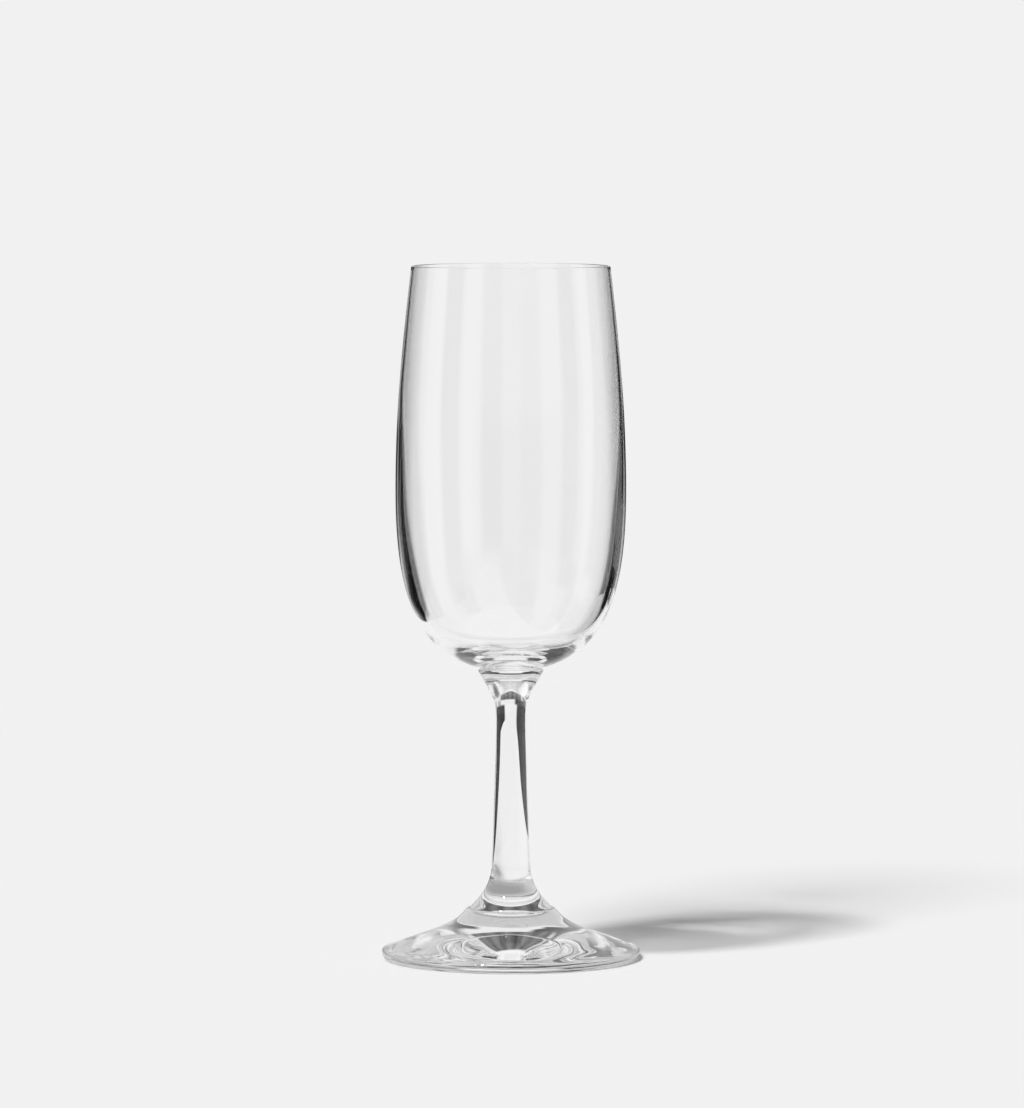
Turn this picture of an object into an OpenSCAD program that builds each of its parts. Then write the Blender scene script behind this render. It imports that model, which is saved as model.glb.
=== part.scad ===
// Champagne glass of clear glass in three pieces, bowl, stem and foot, fused to each other on one axis.
// Each piece is one outline turned about the axis. Millimetres, +Z up, origin on the table under the axis.

/* [Bowl] */
// Height from the seat on the stem to the rim
bowl_h = 102.5; // [92:0.1:116]
// Outside diameter at the widest point
bowl_d = 58.7; // [55:0.1:66]
// Height of the widest point above the seat
belly_h = 45.1; // [41:0.1:52]
// How far the wall stays upright below the widest point
belly_reach_down = 31.9; // [26:0.1:36]
// How far the wall stays upright above the widest point
belly_reach_up = 21.2; // [15:0.1:27]
// Outside diameter at the rim
rim_d = 50.6; // [44:0.1:54]
// Inward lean of the wall at the rim, in degrees
rim_lean = 6.5; // [3:0.5:10]
// How far the wall keeps that lean below the rim
rim_reach = 20.1; // [15:0.1:26]
// Slope of the underside where it leaves the seat, in degrees
underside_angle = 15.5; // [10:0.5:22]
// How far the underside keeps that slope
underside_reach = 14.5; // [11:0.1:18]

/* [Bowl wall] */
// Wall thickness at the rim, which is melted round
rim_wall = 0.6; // [0.5:0.05:1.2]
// Wall thickness at the widest point of the hollow
belly_wall = 1.55; // [1.2:0.05:2]
// Height of the widest point of the hollow above the seat
hollow_h = 60.7; // [58:0.1:64]
// How far the hollow stays upright below its widest point
hollow_reach_down = 56; // [50:0.1:58]
// How far the hollow stays upright above its widest point
hollow_reach_up = 7.3; // [5:0.1:12]
// Thickness of the floor on the axis
floor_t = 4.2; // [3.4:0.1:5.6]
// How far the floor stays flat from the axis
floor_reach = 17.6; // [14:0.1:20]

/* [Seats] */
// Diameter of the seat between the bowl and the stem
bowl_seat_d = 14.8; // [13:0.1:15.4]
// Depth of the bowl's domed base in the cup of the stem
bowl_seat_dip = 1; // [0.4:0.1:2]
// Height of the foot's crown in the skirt of the stem
foot_seat_rise = 0.8; // [0.4:0.1:2]

/* [Stem] */
// Height between the edges of the two seats
stem_h = 61.2; // [45:0.1:90]
// Diameter of the collar under the bowl
collar_d = 16.6; // [15.8:0.1:18.4]
// Height of the collar's round lip, which leaves a groove under the bowl
collar_lip_h = 0.6; // [0.3:0.05:1]
// Slope of the collar's flank from upright, in degrees
collar_angle = 26.5; // [22:0.5:34]
// How far the flank keeps that slope
collar_reach = 6.3; // [4:0.1:7]
// Diameter at the narrowest point
waist_d = 7.5; // [6.4:0.1:8.8]
// Depth of the narrowest point below the collar
waist_depth = 12.8; // [11:0.1:15]
// How far the stem stays upright above the narrowest point
waist_reach_up = 6.5; // [4:0.1:7]
// How far the stem stays upright below the narrowest point
waist_reach_down = 7; // [4:0.1:12]
// Diameter where the stem starts to spread into its skirt
ankle_d = 10; // [9:0.1:11]
// Height of that place above the foot
ankle_h = 10.7; // [9:0.1:13]
// Taper of each side above the skirt, in degrees
taper_angle = 3; // [1:0.1:4]
// How far that taper is kept above and below the ankle
taper_reach = 6.5; // [5:0.1:7]
// Diameter of the skirt on the foot
skirt_d = 20.7; // [19:0.1:21.6]
// Slope of the skirt's edge from upright, in degrees
skirt_angle = 35; // [28:0.5:44]
// How far the skirt keeps that slope
skirt_reach = 2.6; // [1.5:0.1:4]

/* [Foot] */
// Widest diameter
foot_d = 65.8; // [58:0.1:76]
// Height from the table to the edge of the stem's seat
foot_h = 13; // [11.6:0.1:16]
// Diameter of the shoulder round the skirt
shoulder_d = 22.9; // [22.3:0.1:24.6]
// Drop of the shoulder's round edge below the seat
shoulder_drop = 0.4; // [0.2:0.05:0.8]
// Length of the shoulder's ledge that stays level
ledge_reach = 0.75; // [0.3:0.05:0.8]
// Slope below the shoulder, in degrees
shoulder_angle = 52; // [44:0.5:58]
// How far the foot keeps that slope
shoulder_reach = 5.5; // [3:0.1:7]
// Slope of the brim, in degrees
brim_angle = 22; // [17:0.5:25]
// How far the brim keeps that slope
brim_reach = 14; // [9:0.1:15]
// Height of the brim where the round edge starts
edge_h = 3.2; // [2.8:0.1:3.8]
// Width of the round edge on top
edge_top_w = 2.3; // [1.4:0.1:3]
// Height of the widest point of the edge
edge_mid_h = 2; // [1.4:0.1:2.4]
// Width of the round edge below
edge_under_w = 0.9; // [0.5:0.1:1.6]
// Width of the flat ring that stands on the table
rest_w = 4.8; // [3:0.1:8]
// Height of the shallow hollow under the foot on the axis
under_hollow_h = 0.8; // [0.4:0.1:2]

/* [Hidden] */
$fn = 96;

// Straight pieces in each curve of an outline
steps = 24;
// Share of a quarter round's height and width that its handles take
round_handle = 0.552;

clear_glass = [0.9, 0.94, 0.95, 0.4];

bowl_seat_z = foot_h + stem_h;
rim_z = bowl_seat_z + bowl_h;
rim_mid = [(rim_d - rim_wall) / 2, rim_z - rim_wall / 2];
rim_out = rim_mid + [rim_wall / 2, 0];
rim_in = rim_mid - [rim_wall / 2, 0];
rim_run = rim_reach * [sin(rim_lean), -cos(rim_lean)];
belly = [bowl_d / 2, bowl_seat_z + belly_h];
hollow_belly = [bowl_d / 2 - belly_wall, bowl_seat_z + hollow_h];
floor_mid = [0, bowl_seat_z + floor_t];
bowl_seat_edge = [bowl_seat_d / 2, bowl_seat_z];
collar_edge = [collar_d / 2, bowl_seat_z - collar_lip_h];
waist = [waist_d / 2, collar_edge.y - waist_depth];
ankle = [ankle_d / 2, foot_h + ankle_h];
taper_run = taper_reach * [sin(taper_angle), -cos(taper_angle)];
skirt_edge = [skirt_d / 2, foot_h];
shoulder = [shoulder_d / 2, foot_h - shoulder_drop];
shoulder_run = [cos(shoulder_angle), -sin(shoulder_angle)];
brim = [foot_d / 2 - edge_top_w, edge_h];
brim_run = [cos(brim_angle), -sin(brim_angle)];
edge_mid = [foot_d / 2, edge_mid_h];
rest_out = [foot_d / 2 - edge_under_w, 0];
rest_in_r = rest_out.x - rest_w;

// Smooth curve from a to d with handles b and c, without its last point
function curve(a, b, c, d) = [
    for (i = [0 : steps - 1])
    let (t = i / steps, s = 1 - t)
    s * s * s * a + 3 * s * s * t * b + 3 * s * t * t * c + t * t * t * d
];

// Round from a to d that leaves a along the vector u and reaches d along the vector v
function round_edge(a, u, v, d) = curve(a, a + round_handle * u, d - round_handle * v, d);

// Point of a shallow dome at the share k of its radius
function dome_point(r, z, rise, k) = [r * k, z + rise * (1 - k * k)];

// Dome from the axis outwards, without the point on its edge
function dome_out(r, z, rise) = [for (i = [0 : steps - 1]) dome_point(r, z, rise, i / steps)];

// Dome from its edge back to the axis
function dome_in(r, z, rise) = [for (i = [steps : -1 : 0]) dome_point(r, z, rise, i / steps)];

// The seat faces, each shared by the two pieces that are fused there
function bowl_seat_out() = dome_out(bowl_seat_edge.x, bowl_seat_z, -bowl_seat_dip);
function bowl_seat_in() = dome_in(bowl_seat_edge.x, bowl_seat_z, -bowl_seat_dip);
function foot_seat_out() = dome_out(skirt_edge.x, foot_h, foot_seat_rise);
function foot_seat_in() = dome_in(skirt_edge.x, foot_h, foot_seat_rise);

// Blown bowl: thin at the rim, thick at the floor, with a domed base
module bowl() {
    hollow = concat(
        curve(floor_mid, floor_mid + [floor_reach, 0], hollow_belly - [0, hollow_reach_down], hollow_belly),
        curve(hollow_belly, hollow_belly + [0, hollow_reach_up], rim_in + rim_run, rim_in)
    );
    rim = [
        for (i = [0 : steps - 1])
        let (a = 180 - 180 * i / steps)
        rim_mid + rim_wall / 2 * [cos(a), sin(a)]
    ];
    underside_run = underside_reach * [cos(underside_angle), sin(underside_angle)];
    outside = concat(
        curve(rim_out, rim_out + rim_run, belly + [0, belly_reach_up], belly),
        curve(belly, belly - [0, belly_reach_down], bowl_seat_edge + underside_run, bowl_seat_edge)
    );
    color(clear_glass)
    rotate_extrude()
    polygon(concat(hollow, rim, outside, bowl_seat_in()));
}

// Drawn stem: a cup with a collar on top, a narrow waist, and a skirt that spreads onto the foot
module stem() {
    lip_w = collar_edge.x - bowl_seat_edge.x;
    flank_run = collar_reach * [-sin(collar_angle), -cos(collar_angle)];
    skirt_run = skirt_reach * [-sin(skirt_angle), cos(skirt_angle)];
    outside = concat(
        round_edge(bowl_seat_edge, [lip_w, 0], [0, -collar_lip_h], collar_edge),
        curve(collar_edge, collar_edge + flank_run, waist + [0, waist_reach_up], waist),
        curve(waist, waist - [0, waist_reach_down], ankle - taper_run, ankle),
        curve(ankle, ankle + taper_run, skirt_edge + skirt_run, skirt_edge)
    );
    color(clear_glass)
    rotate_extrude()
    polygon(concat(bowl_seat_out(), outside, foot_seat_in()));
}

// Pressed foot: a low cone with a shoulder round the skirt, a round edge and a flat ring to stand on
module foot() {
    edge_rise = edge_h - edge_mid_h;
    outside = concat(
        curve(skirt_edge, skirt_edge + [ledge_reach, 0], shoulder - shoulder_drop * shoulder_run, shoulder),
        curve(shoulder, shoulder + shoulder_reach * shoulder_run, brim - brim_reach * brim_run, brim),
        round_edge(brim, edge_top_w * brim_run, [0, -edge_rise], edge_mid),
        round_edge(edge_mid, [0, -edge_mid_h], [-edge_under_w, 0], rest_out),
        [rest_out]
    );
    color(clear_glass)
    rotate_extrude()
    polygon(concat(foot_seat_out(), outside, dome_in(rest_in_r, 0, under_hollow_h)));
}

bowl();
stem();
foot();
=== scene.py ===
import math

import bpy
import numpy as np
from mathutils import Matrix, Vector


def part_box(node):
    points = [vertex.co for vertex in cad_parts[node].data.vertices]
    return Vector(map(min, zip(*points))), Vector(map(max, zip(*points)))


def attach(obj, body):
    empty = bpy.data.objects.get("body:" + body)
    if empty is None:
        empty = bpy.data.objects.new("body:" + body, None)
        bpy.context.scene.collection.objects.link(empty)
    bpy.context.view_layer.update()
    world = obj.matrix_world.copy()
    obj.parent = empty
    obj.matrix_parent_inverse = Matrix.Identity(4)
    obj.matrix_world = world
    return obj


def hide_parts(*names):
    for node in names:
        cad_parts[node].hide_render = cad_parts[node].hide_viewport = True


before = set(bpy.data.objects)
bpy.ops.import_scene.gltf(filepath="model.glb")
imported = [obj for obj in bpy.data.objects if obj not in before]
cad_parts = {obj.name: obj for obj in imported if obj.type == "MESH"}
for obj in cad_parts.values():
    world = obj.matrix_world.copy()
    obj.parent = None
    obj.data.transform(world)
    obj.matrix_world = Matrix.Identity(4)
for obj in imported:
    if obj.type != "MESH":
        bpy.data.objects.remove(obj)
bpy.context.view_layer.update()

# Camera: it stands a little above the rim and looks down on the foot, at the photograph's viewing angle.
# A long lens from far away keeps the sides of the bowl nearly parallel.
mm = 0.001
camera_distance = 1720 * mm
camera_height = 223.4 * mm
camera_side = 0.3 * mm
camera_pitch = math.radians(3.992)
camera_lens = 220.2
farthest_view = 100

camera_data = bpy.data.cameras.new("camera")
camera_data.lens = camera_lens
camera_data.clip_end = farthest_view
camera = bpy.data.objects.new("camera", camera_data)
camera.location = (camera_side, -camera_distance, camera_height)
camera.rotation_euler = (math.pi / 2 - camera_pitch, 0, 0)
bpy.context.scene.collection.objects.link(camera)
bpy.context.scene.camera = camera

# Foot: a low cone of clear soda-lime glass, pressed in a mould and flame-polished, with a round edge.
# It stands on a flat ring and is hollowed a little inside it. The skirt of the stem is melted onto its crown.
# The sizes of the three pieces are in millimetres, and their meshes in metres.
foot_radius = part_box("foot")[1].x / mm
foot_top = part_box("stem")[0].z / mm
foot_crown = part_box("foot")[1].z / mm - foot_top
skirt_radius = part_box("stem")[1].x / mm
shoulder_radius = 11.45
shoulder_drop = 0.4
ledge_reach = 0.75
shoulder_slope = math.radians(52)
shoulder_reach = 5.5
brim_slope = math.radians(22)
brim_reach = 14.0
edge_height = 3.2
edge_top_width = 2.3
edge_middle = 2.0
edge_under_width = 0.9
rest_width = 4.8
under_hollow = 0.8
foot_wave_depth = 0.16
foot_wave_spacing = 9.0
foot_around = 288
# Share of a quarter round's width and height that its handles take
round_handle = 0.552
# Faces that meet at more than this angle keep a crease
crease_angle = math.radians(25)


def curve(start, leave, arrive, end, count):
    """Cubic curve in the plane of radius and height: it leaves start towards leave and reaches end from
    arrive. The sum of the four points, weighted by the cubic Bernstein terms of t from 0 to 1; end itself
    is left out."""
    t = np.linspace(0, 1, count, endpoint=False)[:, None]
    s = 1 - t
    a, b, c, d = (np.asarray(p, float) for p in (start, leave, arrive, end))
    return s**3 * a + 3 * s * s * t * b + 3 * s * t * t * c + t**3 * d


def dome(radius, height, rise, count=24):
    """Shallow dome from the axis to its edge: the height falls with the square of the radius."""
    k = np.linspace(0, 1, count)[:, None]
    return np.hstack([radius * k, height + rise * (1 - k * k)])


def run(angle, reach):
    """Step of a given reach, outwards and down at an angle from level."""
    return reach * np.array([math.cos(angle), -math.sin(angle)])


def smooth_step(x):
    """Smooth rise from 0 to 1 as x goes from 0 to 1, level at both ends: 3 times the square of x less 2 times
    its cube."""
    x = np.clip(x, 0, 1)
    return x * x * (3 - 2 * x)


def flame_waves(outline, rows, depth, spacing, around):
    """Depth of the soft waves that flame-polishing leaves in a surface, for each outline point and angle.
    Two slanted sines cross, one 5 times round the piece and one 8 times, with crests about one spacing apart
    along the outline. They fade out within one spacing of the first and the last of the two rows."""
    angle = np.linspace(0, 2 * np.pi, around, endpoint=False)
    along = np.concatenate([[0], np.cumsum(np.hypot(*np.diff(outline, axis=0).T))])[:, None]
    first, last = along[list(rows)]
    fade = np.clip((along - first) / spacing, 0, 1) * np.clip((last - along) / spacing, 0, 1)
    phase = 2 * np.pi * along / spacing
    waves = np.sin(5 * angle + 0.8 * phase) + np.sin(8 * angle - 0.55 * phase + 1.3)
    return depth * smooth_step(fade) * (0.5 + waves / 4)


def turned_piece(name, outline, fused, materials, waves):
    """Surface of revolution: point (u, v) of the grid is outline point u turned by angle v about the axis,
    and sunk into the glass by the depth of the waves there. The outline starts and ends on the axis, so both
    poles close in fans. Rows marked fused take the second material."""
    around = waves.shape[1]
    angle = np.linspace(0, 2 * np.pi, around, endpoint=False)
    lead = np.gradient(outline, axis=0)
    lead /= np.hypot(*lead.T)[:, None]
    radius = (outline[:, :1] + waves * lead[:, 1:])[1:-1] * mm
    height = (outline[:, 1:] - waves * lead[:, :1])[1:-1] * mm
    grid = np.stack(np.broadcast_arrays(radius * np.cos(angle), radius * np.sin(angle), height), axis=-1)
    poles = np.array([[0, 0, outline[0, 1]], [0, 0, outline[-1, 1]]]) * mm
    points = np.vstack([grid.reshape(-1, 3), poles])
    row = np.arange(len(grid))[:, None] * around
    here = np.arange(around)
    after = (here + 1) % around
    quads = np.stack(np.broadcast_arrays(
        row[:-1] + here, row[1:] + here, row[1:] + after, row[:-1] + after), axis=-1).reshape(-1, 4)
    first_pole = len(points) - 2
    last_pole = len(points) - 1
    first_fan = np.stack(np.broadcast_arrays(first_pole, here, after), axis=-1)
    last_fan = np.stack(np.broadcast_arrays(last_pole, row[-1] + after, row[-1] + here), axis=-1)
    mesh = bpy.data.meshes.new(name)
    mesh.from_pydata(points.tolist(), [], quads.tolist() + first_fan.tolist() + last_fan.tolist())
    row_slots = np.asarray(fused, int)
    slots = np.concatenate([np.repeat(row_slots[1:-1], around), np.repeat(row_slots[[0, -1]], around)])
    mesh.polygons.foreach_set("material_index", slots)
    mesh.polygons.foreach_set("use_smooth", np.ones(len(slots), bool))
    mesh.set_sharp_from_angle(angle=crease_angle)
    for material in materials:
        mesh.materials.append(material)
    mesh.update()
    piece = bpy.data.objects.new(name, mesh)
    bpy.context.scene.collection.objects.link(piece)
    return piece


def linear(hex_colour):
    """Linear red, green, blue and alpha of an sRGB hex colour, by the sRGB transfer curve."""
    c = np.array([int(hex_colour[i:i + 2], 16) for i in (1, 3, 5)]) / 255
    return (*np.where(c <= 0.04045, c / 12.92, ((c + 0.055) / 1.055) ** 2.4), 1.0)


def blank_material(name):
    """New material with an empty node tree."""
    material = bpy.data.materials.new(name)
    material.use_nodes = True
    material.node_tree.nodes.clear()
    return material


def add_node(tree, kind, links=(), values=(), **settings):
    """Adds one node, sets its properties and input values, and links pairs of (from socket, to input)."""
    node = tree.nodes.new(kind)
    for name, value in settings.items():
        setattr(node, name, value)
    for name, value in dict(values).items():
        node.inputs[name].default_value = value
    for source, name in links:
        tree.links.new(source, node.inputs[name])
    return node


# Clear soda-lime glass, flame-polished: colourless and mirror-smooth.
# It bends what is behind it, and its edges go dark where they bend light away.
glass = blank_material("clear_soda_lime_glass")
glass_body = add_node(glass.node_tree, "ShaderNodeBsdfPrincipled", values={
    "Base Color": linear("#FFFFFF"), "Roughness": 0.0, "IOR": 1.52, "Transmission Weight": 1.0})
add_node(glass.node_tree, "ShaderNodeOutputMaterial", [(glass_body.outputs["BSDF"], "Surface")])

# Melted joint: two pieces of the same glass run into each other, so light passes with no edge to see.
melted = blank_material("melted_glass_joint")
melted_clear = add_node(melted.node_tree, "ShaderNodeBsdfTransparent", values={"Color": linear("#FFFFFF")})
add_node(melted.node_tree, "ShaderNodeOutputMaterial", [(melted_clear.outputs["BSDF"], "Surface")])

skirt_edge = np.array([skirt_radius, foot_top])
shoulder = np.array([shoulder_radius, foot_top - shoulder_drop])
brim = np.array([foot_radius - edge_top_width, edge_height])
edge = np.array([foot_radius, edge_middle])
rest_out = np.array([foot_radius - edge_under_width, 0.0])
crown = dome(skirt_radius, foot_top, foot_crown)
foot_outline = np.vstack([
    crown[:-1],
    curve(skirt_edge, skirt_edge + [ledge_reach, 0],
          shoulder - run(shoulder_slope, shoulder_drop), shoulder, 12),
    curve(shoulder, shoulder + run(shoulder_slope, shoulder_reach),
          brim - run(brim_slope, brim_reach), brim, 90),
    curve(brim, brim + run(brim_slope, round_handle * edge_top_width),
          edge + [0, round_handle * (edge_height - edge_middle)], edge, 24),
    curve(edge, edge - [0, round_handle * edge_middle],
          rest_out + [round_handle * edge_under_width, 0], rest_out, 24),
    rest_out,
    dome(rest_out[0] - rest_width, 0, under_hollow, 40)[::-1],
])
foot_fused = np.arange(len(foot_outline) - 1) < len(crown) - 1
# The waves run from the shoulder to the underside of the round edge
foot_wave_rows = (len(crown) + 8, len(crown) + 140)
foot_waves = flame_waves(foot_outline, foot_wave_rows, foot_wave_depth, foot_wave_spacing, foot_around)
foot = turned_piece("pressed_foot", foot_outline, foot_fused, [glass, melted], foot_waves)
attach(foot, "root")
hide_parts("foot")

# Stem: a solid rod of the same glass, drawn hot, with a flared collar that cups the bowl.
# It narrows to a waist under the collar, thickens slowly and spreads into a skirt on the foot.
seat_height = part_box("stem")[1].z / mm
seat_dip = seat_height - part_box("bowl")[0].z / mm
seat_radius = 7.4
collar_radius = 8.3
collar_lip = 0.6
collar_flare = math.radians(26.5)
collar_reach = 6.3
waist_radius = 3.75
waist_depth = 12.8
waist_reach_up = 6.5
waist_reach_down = 7.0
ankle_radius = 5.0
ankle_rise = 10.7
taper = math.radians(3)
taper_reach = 6.5
skirt_flare = math.radians(35)
skirt_reach = 2.6
stem_wave_depth = 0.03
stem_wave_spacing = 16.0
stem_around = 192


def lean(angle, reach):
    """Step of a given reach, down and outwards at an angle from upright."""
    return reach * np.array([math.sin(angle), -math.cos(angle)])


seat_edge = np.array([seat_radius, seat_height])
collar = np.array([collar_radius, seat_height - collar_lip])
waist = np.array([waist_radius, collar[1] - waist_depth])
ankle = np.array([ankle_radius, foot_top + ankle_rise])
taper_run = lean(taper, taper_reach)
cup = dome(seat_radius, seat_height, -seat_dip)
stem_outline = np.vstack([
    cup[:-1],
    curve(seat_edge, seat_edge + [round_handle * (collar_radius - seat_radius), 0],
          collar + [0, round_handle * collar_lip], collar, 16),
    curve(collar, collar + lean(-collar_flare, collar_reach), waist + [0, waist_reach_up], waist, 60),
    curve(waist, waist - [0, waist_reach_down], ankle - taper_run, ankle, 60),
    curve(ankle, ankle + taper_run, skirt_edge - lean(skirt_flare, skirt_reach), skirt_edge, 60),
    crown[::-1],
])
stem_row = np.arange(len(stem_outline) - 1)
stem_fused = (stem_row < len(cup) - 1) | (stem_row >= len(stem_outline) - len(crown))
# The waves run from the collar's flank to the skirt
stem_wave_rows = (len(cup) + 30, len(cup) + 180)
stem_waves = flame_waves(stem_outline, stem_wave_rows, stem_wave_depth, stem_wave_spacing, stem_around)
stem = turned_piece("drawn_stem", stem_outline, stem_fused, [glass, melted], stem_waves)
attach(stem, "root")
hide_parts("stem")

# Bowl: blown clear glass, thin and melted round at the rim, thick at the floor, which has a shallow dish.
# Its domed base sits in the cup of the stem and is melted to it.
bowl_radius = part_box("bowl")[1].x / mm
rim_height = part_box("bowl")[1].z / mm
rim_radius = 25.3
rim_wall = 0.6
rim_lean = math.radians(6.5)
rim_reach = 20.1
belly_rise = 45.1
belly_reach_down = 31.9
belly_reach_up = 21.2
belly_wall = 1.55
underside_slope = math.radians(15.5)
underside_reach = 14.5
hollow_rise = 60.7
hollow_reach_down = 56.0
hollow_reach_up = 7.3
floor_thickness = 4.2
floor_reach = 17.6
dish_radius = 6.2
dish_edge = 1.6
dish_depth = 0.7
wall_wave_depth = 0.03
wall_wave_spacing = 24.0
base_wave_depth = 0.05
base_wave_spacing = 9.0
bowl_around = 288

belly = np.array([bowl_radius, seat_height + belly_rise])
hollow = np.array([bowl_radius - belly_wall, seat_height + hollow_rise])
floor_middle = np.array([0.0, seat_height + floor_thickness])
rim_middle = np.array([rim_radius - rim_wall / 2, rim_height - rim_wall / 2])
rim_out = rim_middle + [rim_wall / 2, 0]
rim_in = rim_middle - [rim_wall / 2, 0]
rim_run = lean(rim_lean, rim_reach)
rim_turn = np.linspace(np.pi, 0, 16, endpoint=False)[:, None]
inside = curve(floor_middle, floor_middle + [floor_reach, 0], hollow - [0, hollow_reach_down], hollow, 100)
# The dish shows as a ring just above the stem; it sinks by a smooth step that straddles its edge
inside[:, 1] -= dish_depth * smooth_step((dish_radius - inside[:, 0]) / dish_edge + 0.5)
bowl_outline = np.vstack([
    inside,
    curve(hollow, hollow + [0, hollow_reach_up], rim_in + rim_run, rim_in, 48),
    rim_middle + rim_wall / 2 * np.hstack([np.cos(rim_turn), np.sin(rim_turn)]),
    curve(rim_out, rim_out + rim_run, belly + [0, belly_reach_up], belly, 48),
    curve(belly, belly - [0, belly_reach_down],
          seat_edge + run(-underside_slope, underside_reach), seat_edge, 70),
    cup[::-1],
])
bowl_fused = np.arange(len(bowl_outline) - 1) >= len(bowl_outline) - len(cup)
# Long waves run up the inside from the floor to just below the rim; short ones lie in its thick lower part
wall_wave_rows = (0, 140)
base_wave_rows = (17, 71)
bowl_waves = (
    flame_waves(bowl_outline, wall_wave_rows, wall_wave_depth, wall_wave_spacing, bowl_around)
    + flame_waves(bowl_outline, base_wave_rows, base_wave_depth, base_wave_spacing, bowl_around))
bowl = turned_piece("blown_bowl", bowl_outline, bowl_fused, [glass, melted], bowl_waves)
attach(bowl, "root")
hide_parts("bowl")

# Floor: a sheet of pale matt paper that runs on into the backdrop. The lamps' light on it makes the shadow.
# Far from the glass it gives way to the surround. In the glass it ends at its sides, as a real sheet does.
floor_radius = 900 * mm
floor_corners = 96
fade_radius = 540 * mm
# Sides of the sheet that show in the glass: the way out across each, in degrees from the right towards the
# far side, and how far it lies from the axis that way
sheet_sides = ((-25, 60 * mm), (18, 380 * mm), (180, 148 * mm), (-90, 300 * mm))
# The thin film of air under the foot, which lets its polished base mirror the light
air_gap = 0.05 * mm
paper_colour = linear("#E7E7E7")

# Matt paper: an even pale grey with no gloss.
paper = blank_material("pale_paper")
paper_tree = paper.node_tree
paper_matt = add_node(paper_tree, "ShaderNodeBsdfDiffuse", values={"Color": paper_colour})
paper_clear = add_node(paper_tree, "ShaderNodeBsdfTransparent")
paper_place = add_node(paper_tree, "ShaderNodeTexCoord")
paper_distance = add_node(
    paper_tree, "ShaderNodeVectorMath", [(paper_place.outputs["Object"], 0)], operation="LENGTH")
paper_far = add_node(
    paper_tree, "ShaderNodeMapRange", [(paper_distance.outputs["Value"], "Value")],
    {"From Min": fade_radius, "From Max": floor_radius}, interpolation_type="SMOOTHSTEP")
past_sides = []
for side_angle, side_reach in sheet_sides:
    side_way = (math.cos(math.radians(side_angle)), math.sin(math.radians(side_angle)), 0)
    across_side = add_node(
        paper_tree, "ShaderNodeVectorMath", [(paper_place.outputs["Object"], 0)], {1: side_way},
        operation="DOT_PRODUCT")
    past_sides.append(add_node(
        paper_tree, "ShaderNodeMath", [(across_side.outputs["Value"], 0)], {1: side_reach},
        operation="GREATER_THAN"))
paper_off = past_sides[0]
for past_side in past_sides[1:]:
    paper_off = add_node(
        paper_tree, "ShaderNodeMath", [(paper_off.outputs[0], 0), (past_side.outputs[0], 1)],
        operation="MAXIMUM")
paper_ray = add_node(paper_tree, "ShaderNodeLightPath")
paper_gone = add_node(paper_tree, "ShaderNodeMix", [
    (paper_ray.outputs["Is Camera Ray"], "Factor"), (paper_off.outputs[0], "A"),
    (paper_far.outputs["Result"], "B")], data_type="FLOAT")
paper_mix = add_node(paper_tree, "ShaderNodeMixShader", [
    (paper_gone.outputs["Result"], 0), (paper_matt.outputs["BSDF"], 1), (paper_clear.outputs["BSDF"], 2)])
add_node(paper_tree, "ShaderNodeOutputMaterial", [(paper_mix.outputs["Shader"], "Surface")])

floor_turn = np.linspace(0, 2 * np.pi, floor_corners, endpoint=False)
floor_points = np.stack([
    floor_radius * np.cos(floor_turn), floor_radius * np.sin(floor_turn), 0 * floor_turn - air_gap], axis=-1)
floor_mesh = bpy.data.meshes.new("floor")
floor_mesh.from_pydata(floor_points.tolist(), [], [list(range(floor_corners))])
floor_mesh.materials.append(paper)
floor = bpy.data.objects.new("floor", floor_mesh)
bpy.context.scene.collection.objects.link(floor)

# Studio lamps: a key and a softer fill from the left and front. Together with the surround they bring the
# paper to the level of the backdrop. The glass mirrors only the key, and shows neither through its walls,
# where they would be hard white spots.
backdrop_level = 0.88
ambient_level = 0.26
lamp_light = (backdrop_level / paper_colour[0] - ambient_level) * math.pi
# Way that the shadow falls, height of the lamp and its width in degrees, and its share of the lamps' light
lamps = {"key": (46, 61.5, 7, 0.58), "fill": (58, 45, 16, 0.42)}
for name, (azimuth, height, width, share) in lamps.items():
    lamp_data = bpy.data.lights.new(name, "SUN")
    lamp_data.energy = share * lamp_light / math.sin(math.radians(height))
    lamp_data.angle = math.radians(width)
    lamp_data.cycles.is_caustics_light = True
    lamp = bpy.data.objects.new(name, lamp_data)
    lamp.rotation_euler = (0, math.radians(90 - height), math.radians(180 + azimuth))
    lamp.visible_glossy = name == "key"
    lamp.visible_transmission = False
    bpy.context.scene.collection.objects.link(lamp)
# The glass gathers the lamps' light into bright patches in its shadow
floor.cycles.is_caustics_receiver = True
for piece in (foot, stem, bowl):
    piece.cycles.is_caustics_caster = True

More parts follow.
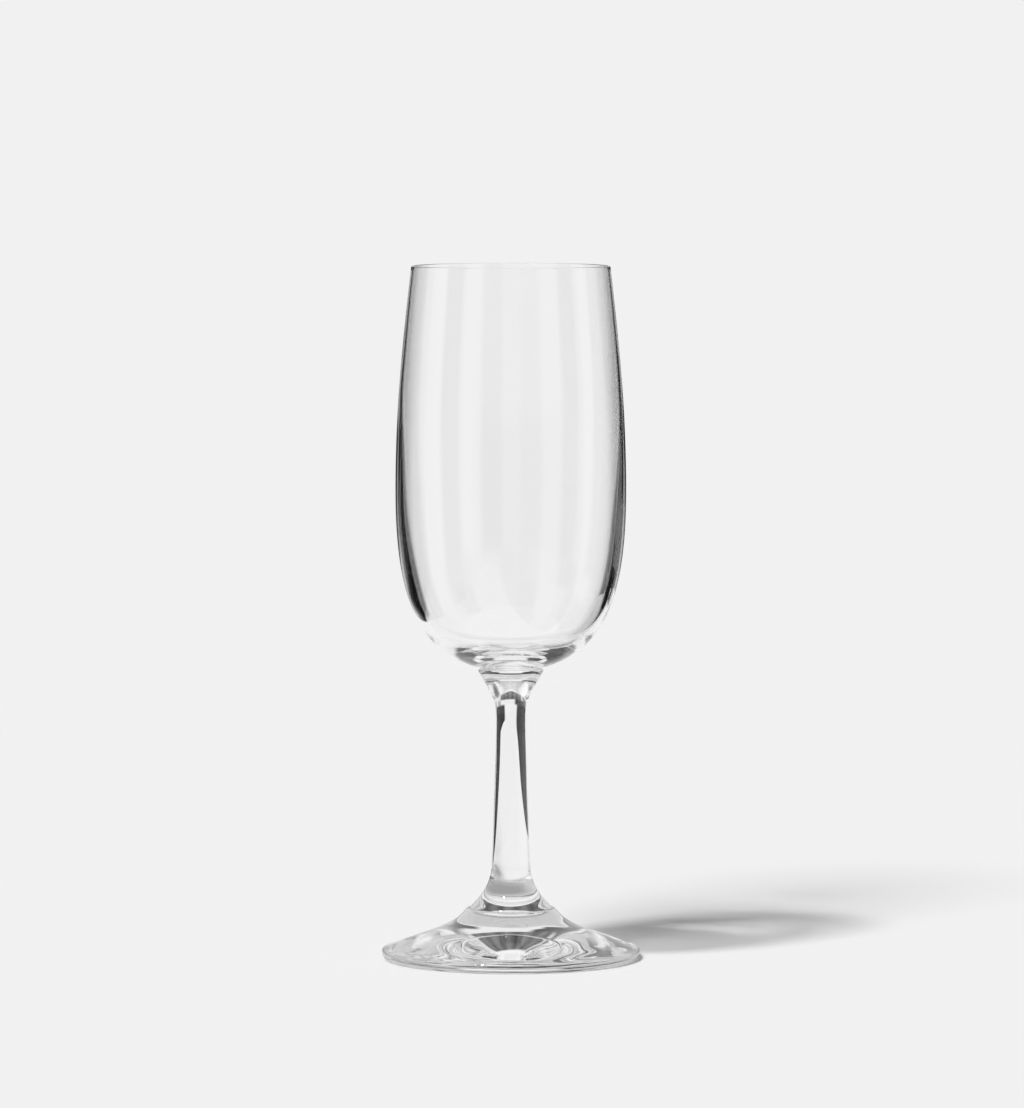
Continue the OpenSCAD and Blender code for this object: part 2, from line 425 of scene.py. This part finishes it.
# Surround: white panels with dark gaps that stand around the table, in bands one above the other.
# They show only in the glass, bent through its walls or mirrored: the camera and the paper see an even
# level. Each band lists the way from the glass, in degrees to the right of the far side, and the level there.
bent_floor = [
    (-180, 0.55), (-126, 0.75), (-121, 0.1), (-105, 0.1), (-100, 0.9), (-81, 0.9), (-77, 0.1), (-62, 0.05),
    (-57, 0.88), (-35, 0.88), (-31, 0.0), (-18, 0.0), (-14, 0.88), (14, 0.88), (18, 0.0), (58, 0.0),
    (66, 0.95), (96, 0.95), (101, 0.1), (120, 0.1), (126, 0.88), (145, 0.88), (150, 0.1), (167, 0.1),
    (173, 0.55), (180, 0.55)]
bent_low = [
    (-180, 0.55), (-126, 0.75), (-121, 0.1), (-105, 0.1), (-100, 0.9), (-81, 0.9), (-77, 0.15), (-66, 0.15),
    (-62, 0.1), (-58, 0.0), (-18, 0.0), (-14, 0.88), (14, 0.88), (18, 0.0), (58, 0.0), (66, 0.8),
    (96, 0.9), (101, 0.2), (120, 0.2), (126, 0.88), (145, 0.88), (150, 0.1), (167, 0.1), (173, 0.55),
    (180, 0.55)]
bent_high = [
    (-180, 0.4), (-150, 0.9), (-128, 0.9), (-120, 0.5), (-104, 0.1), (-90, 0.7), (-68, 0.8), (-58, 0.2),
    (-44, 0.05), (-12, 0.02), (-8, 0.85), (26, 0.85), (32, 0.3), (40, 0.5), (48, 0.8), (56, 0.5),
    (66, 0.6), (80, 0.95), (96, 0.5), (110, 0.3), (124, 0.3), (140, 0.8), (180, 0.4)]
bent_top = [
    (-180, 0.6), (-150, 0.6), (-140, 1.0), (-108, 1.0), (-98, 0.5), (-82, 0.4), (-64, 0.1), (-40, 0.1),
    (-34, 0.6), (-30, 0.6), (-26, 0.02), (-20, 0.16), (-15, 0.02), (-9, 0.18), (-4, 0.02), (2, 0.18),
    (7, 0.02), (12, 0.16), (17, 0.02), (22, 0.16), (26, 0.02), (30, 0.7), (44, 0.8), (60, 0.5),
    (76, 0.85), (98, 0.5), (106, 0.05), (124, 0.05), (134, 0.7), (180, 0.6)]
mirrored = [
    (-180, 0.45), (-150, 0.45), (-138, 1.0), (-66, 1.0), (-56, 0.05), (-8, 0.05), (-4, 0.88), (4, 0.88),
    (8, 0.05), (56, 0.05), (66, 1.0), (118, 1.0), (132, 0.5), (180, 0.45)]
above_level = 0.95
zenith_level = 0.9
# Heights in degrees over which each band gives way to the next one up, then to the two even levels above
band_steps = ((-21, -18), (8, 13), (20, 24), (42, 47), (50, 66))
# Height over which the mirrored band gives way to the even level above it
mirror_step = (1, 6)

world = bpy.data.worlds.new("studio")
bpy.context.scene.world = world
world.use_nodes = True
world_tree = world.node_tree
world_tree.nodes.clear()
way = add_node(world_tree, "ShaderNodeTexCoord")
way_parts = add_node(world_tree, "ShaderNodeSeparateXYZ", [(way.outputs["Generated"], 0)])
round_table = add_node(
    world_tree, "ShaderNodeMath", [(way_parts.outputs["X"], 0), (way_parts.outputs["Y"], 1)],
    operation="ARCTAN2")
rise = add_node(world_tree, "ShaderNodeMath", [(way_parts.outputs["Z"], 0)], operation="ARCSINE")
ramp_place = add_node(
    world_tree, "ShaderNodeMapRange", [(round_table.outputs[0], "Value")],
    {"From Min": -math.pi, "From Max": math.pi})
bands = []
for panels in (bent_floor, bent_low, bent_high, bent_top, mirrored):
    band = add_node(world_tree, "ShaderNodeValToRGB", [(ramp_place.outputs["Result"], 0)])
    for angle, level in panels[1:-1]:
        band.color_ramp.elements.new(angle / 360 + 0.5)
    for stop, (angle, level) in zip(band.color_ramp.elements, panels):
        stop.position = angle / 360 + 0.5
        stop.color = (level, level, level, 1)
    bands.append(band)
steps = []
for low, high in (*band_steps, mirror_step):
    steps.append(add_node(
        world_tree, "ShaderNodeMapRange", [(rise.outputs[0], "Value")],
        {"From Min": math.radians(low), "From Max": math.radians(high)}, interpolation_type="SMOOTHSTEP"))
bent, *upper_bands, mirror_band = bands
*upper_steps, above_step, zenith_step, mirror_rise = steps
for band, step in zip(upper_bands, upper_steps):
    bent = add_node(world_tree, "ShaderNodeMix", [
        (step.outputs["Result"], "Factor"), (bent.outputs[0], "A"), (band.outputs[0], "B")],
        data_type="FLOAT")
for level, step in ((above_level, above_step), (zenith_level, zenith_step)):
    bent = add_node(world_tree, "ShaderNodeMix", [
        (step.outputs["Result"], "Factor"), (bent.outputs[0], "A")], {"B": level}, data_type="FLOAT")
mirror = add_node(world_tree, "ShaderNodeMix", [
    (mirror_rise.outputs["Result"], "Factor"), (mirror_band.outputs[0], "A")], {"B": above_level},
    data_type="FLOAT")
world_ray = add_node(world_tree, "ShaderNodeLightPath")
in_glass = add_node(world_tree, "ShaderNodeMix", [
    (world_ray.outputs["Is Transmission Ray"], "Factor"), (mirror.outputs["Result"], "A"),
    (bent.outputs["Result"], "B")], data_type="FLOAT")
through = add_node(world_tree, "ShaderNodeMath", [
    (world_ray.outputs["Is Transmission Ray"], 0), (world_ray.outputs["Is Glossy Ray"], 1)],
    operation="MAXIMUM")
plain = add_node(
    world_tree, "ShaderNodeMix", [(world_ray.outputs["Is Camera Ray"], "Factor")],
    {"A": ambient_level, "B": backdrop_level}, data_type="FLOAT")
surround = add_node(world_tree, "ShaderNodeMix", [
    (through.outputs[0], "Factor"), (plain.outputs["Result"], "A"), (in_glass.outputs["Result"], "B")],
    data_type="FLOAT")
world_light = add_node(
    world_tree, "ShaderNodeBackground", [(surround.outputs["Result"], "Strength")],
    {"Color": linear("#FFFFFF")})
add_node(world_tree, "ShaderNodeOutputWorld", [(world_light.outputs["Background"], "Surface")])

# Light may cross all the walls of the glass many times before it is given up
cycles = bpy.context.scene.cycles
cycles.max_bounces = 32
cycles.glossy_bounces = 24
cycles.transmission_bounces = 24
bpy.context.scene.view_settings.view_transform = "Standard"
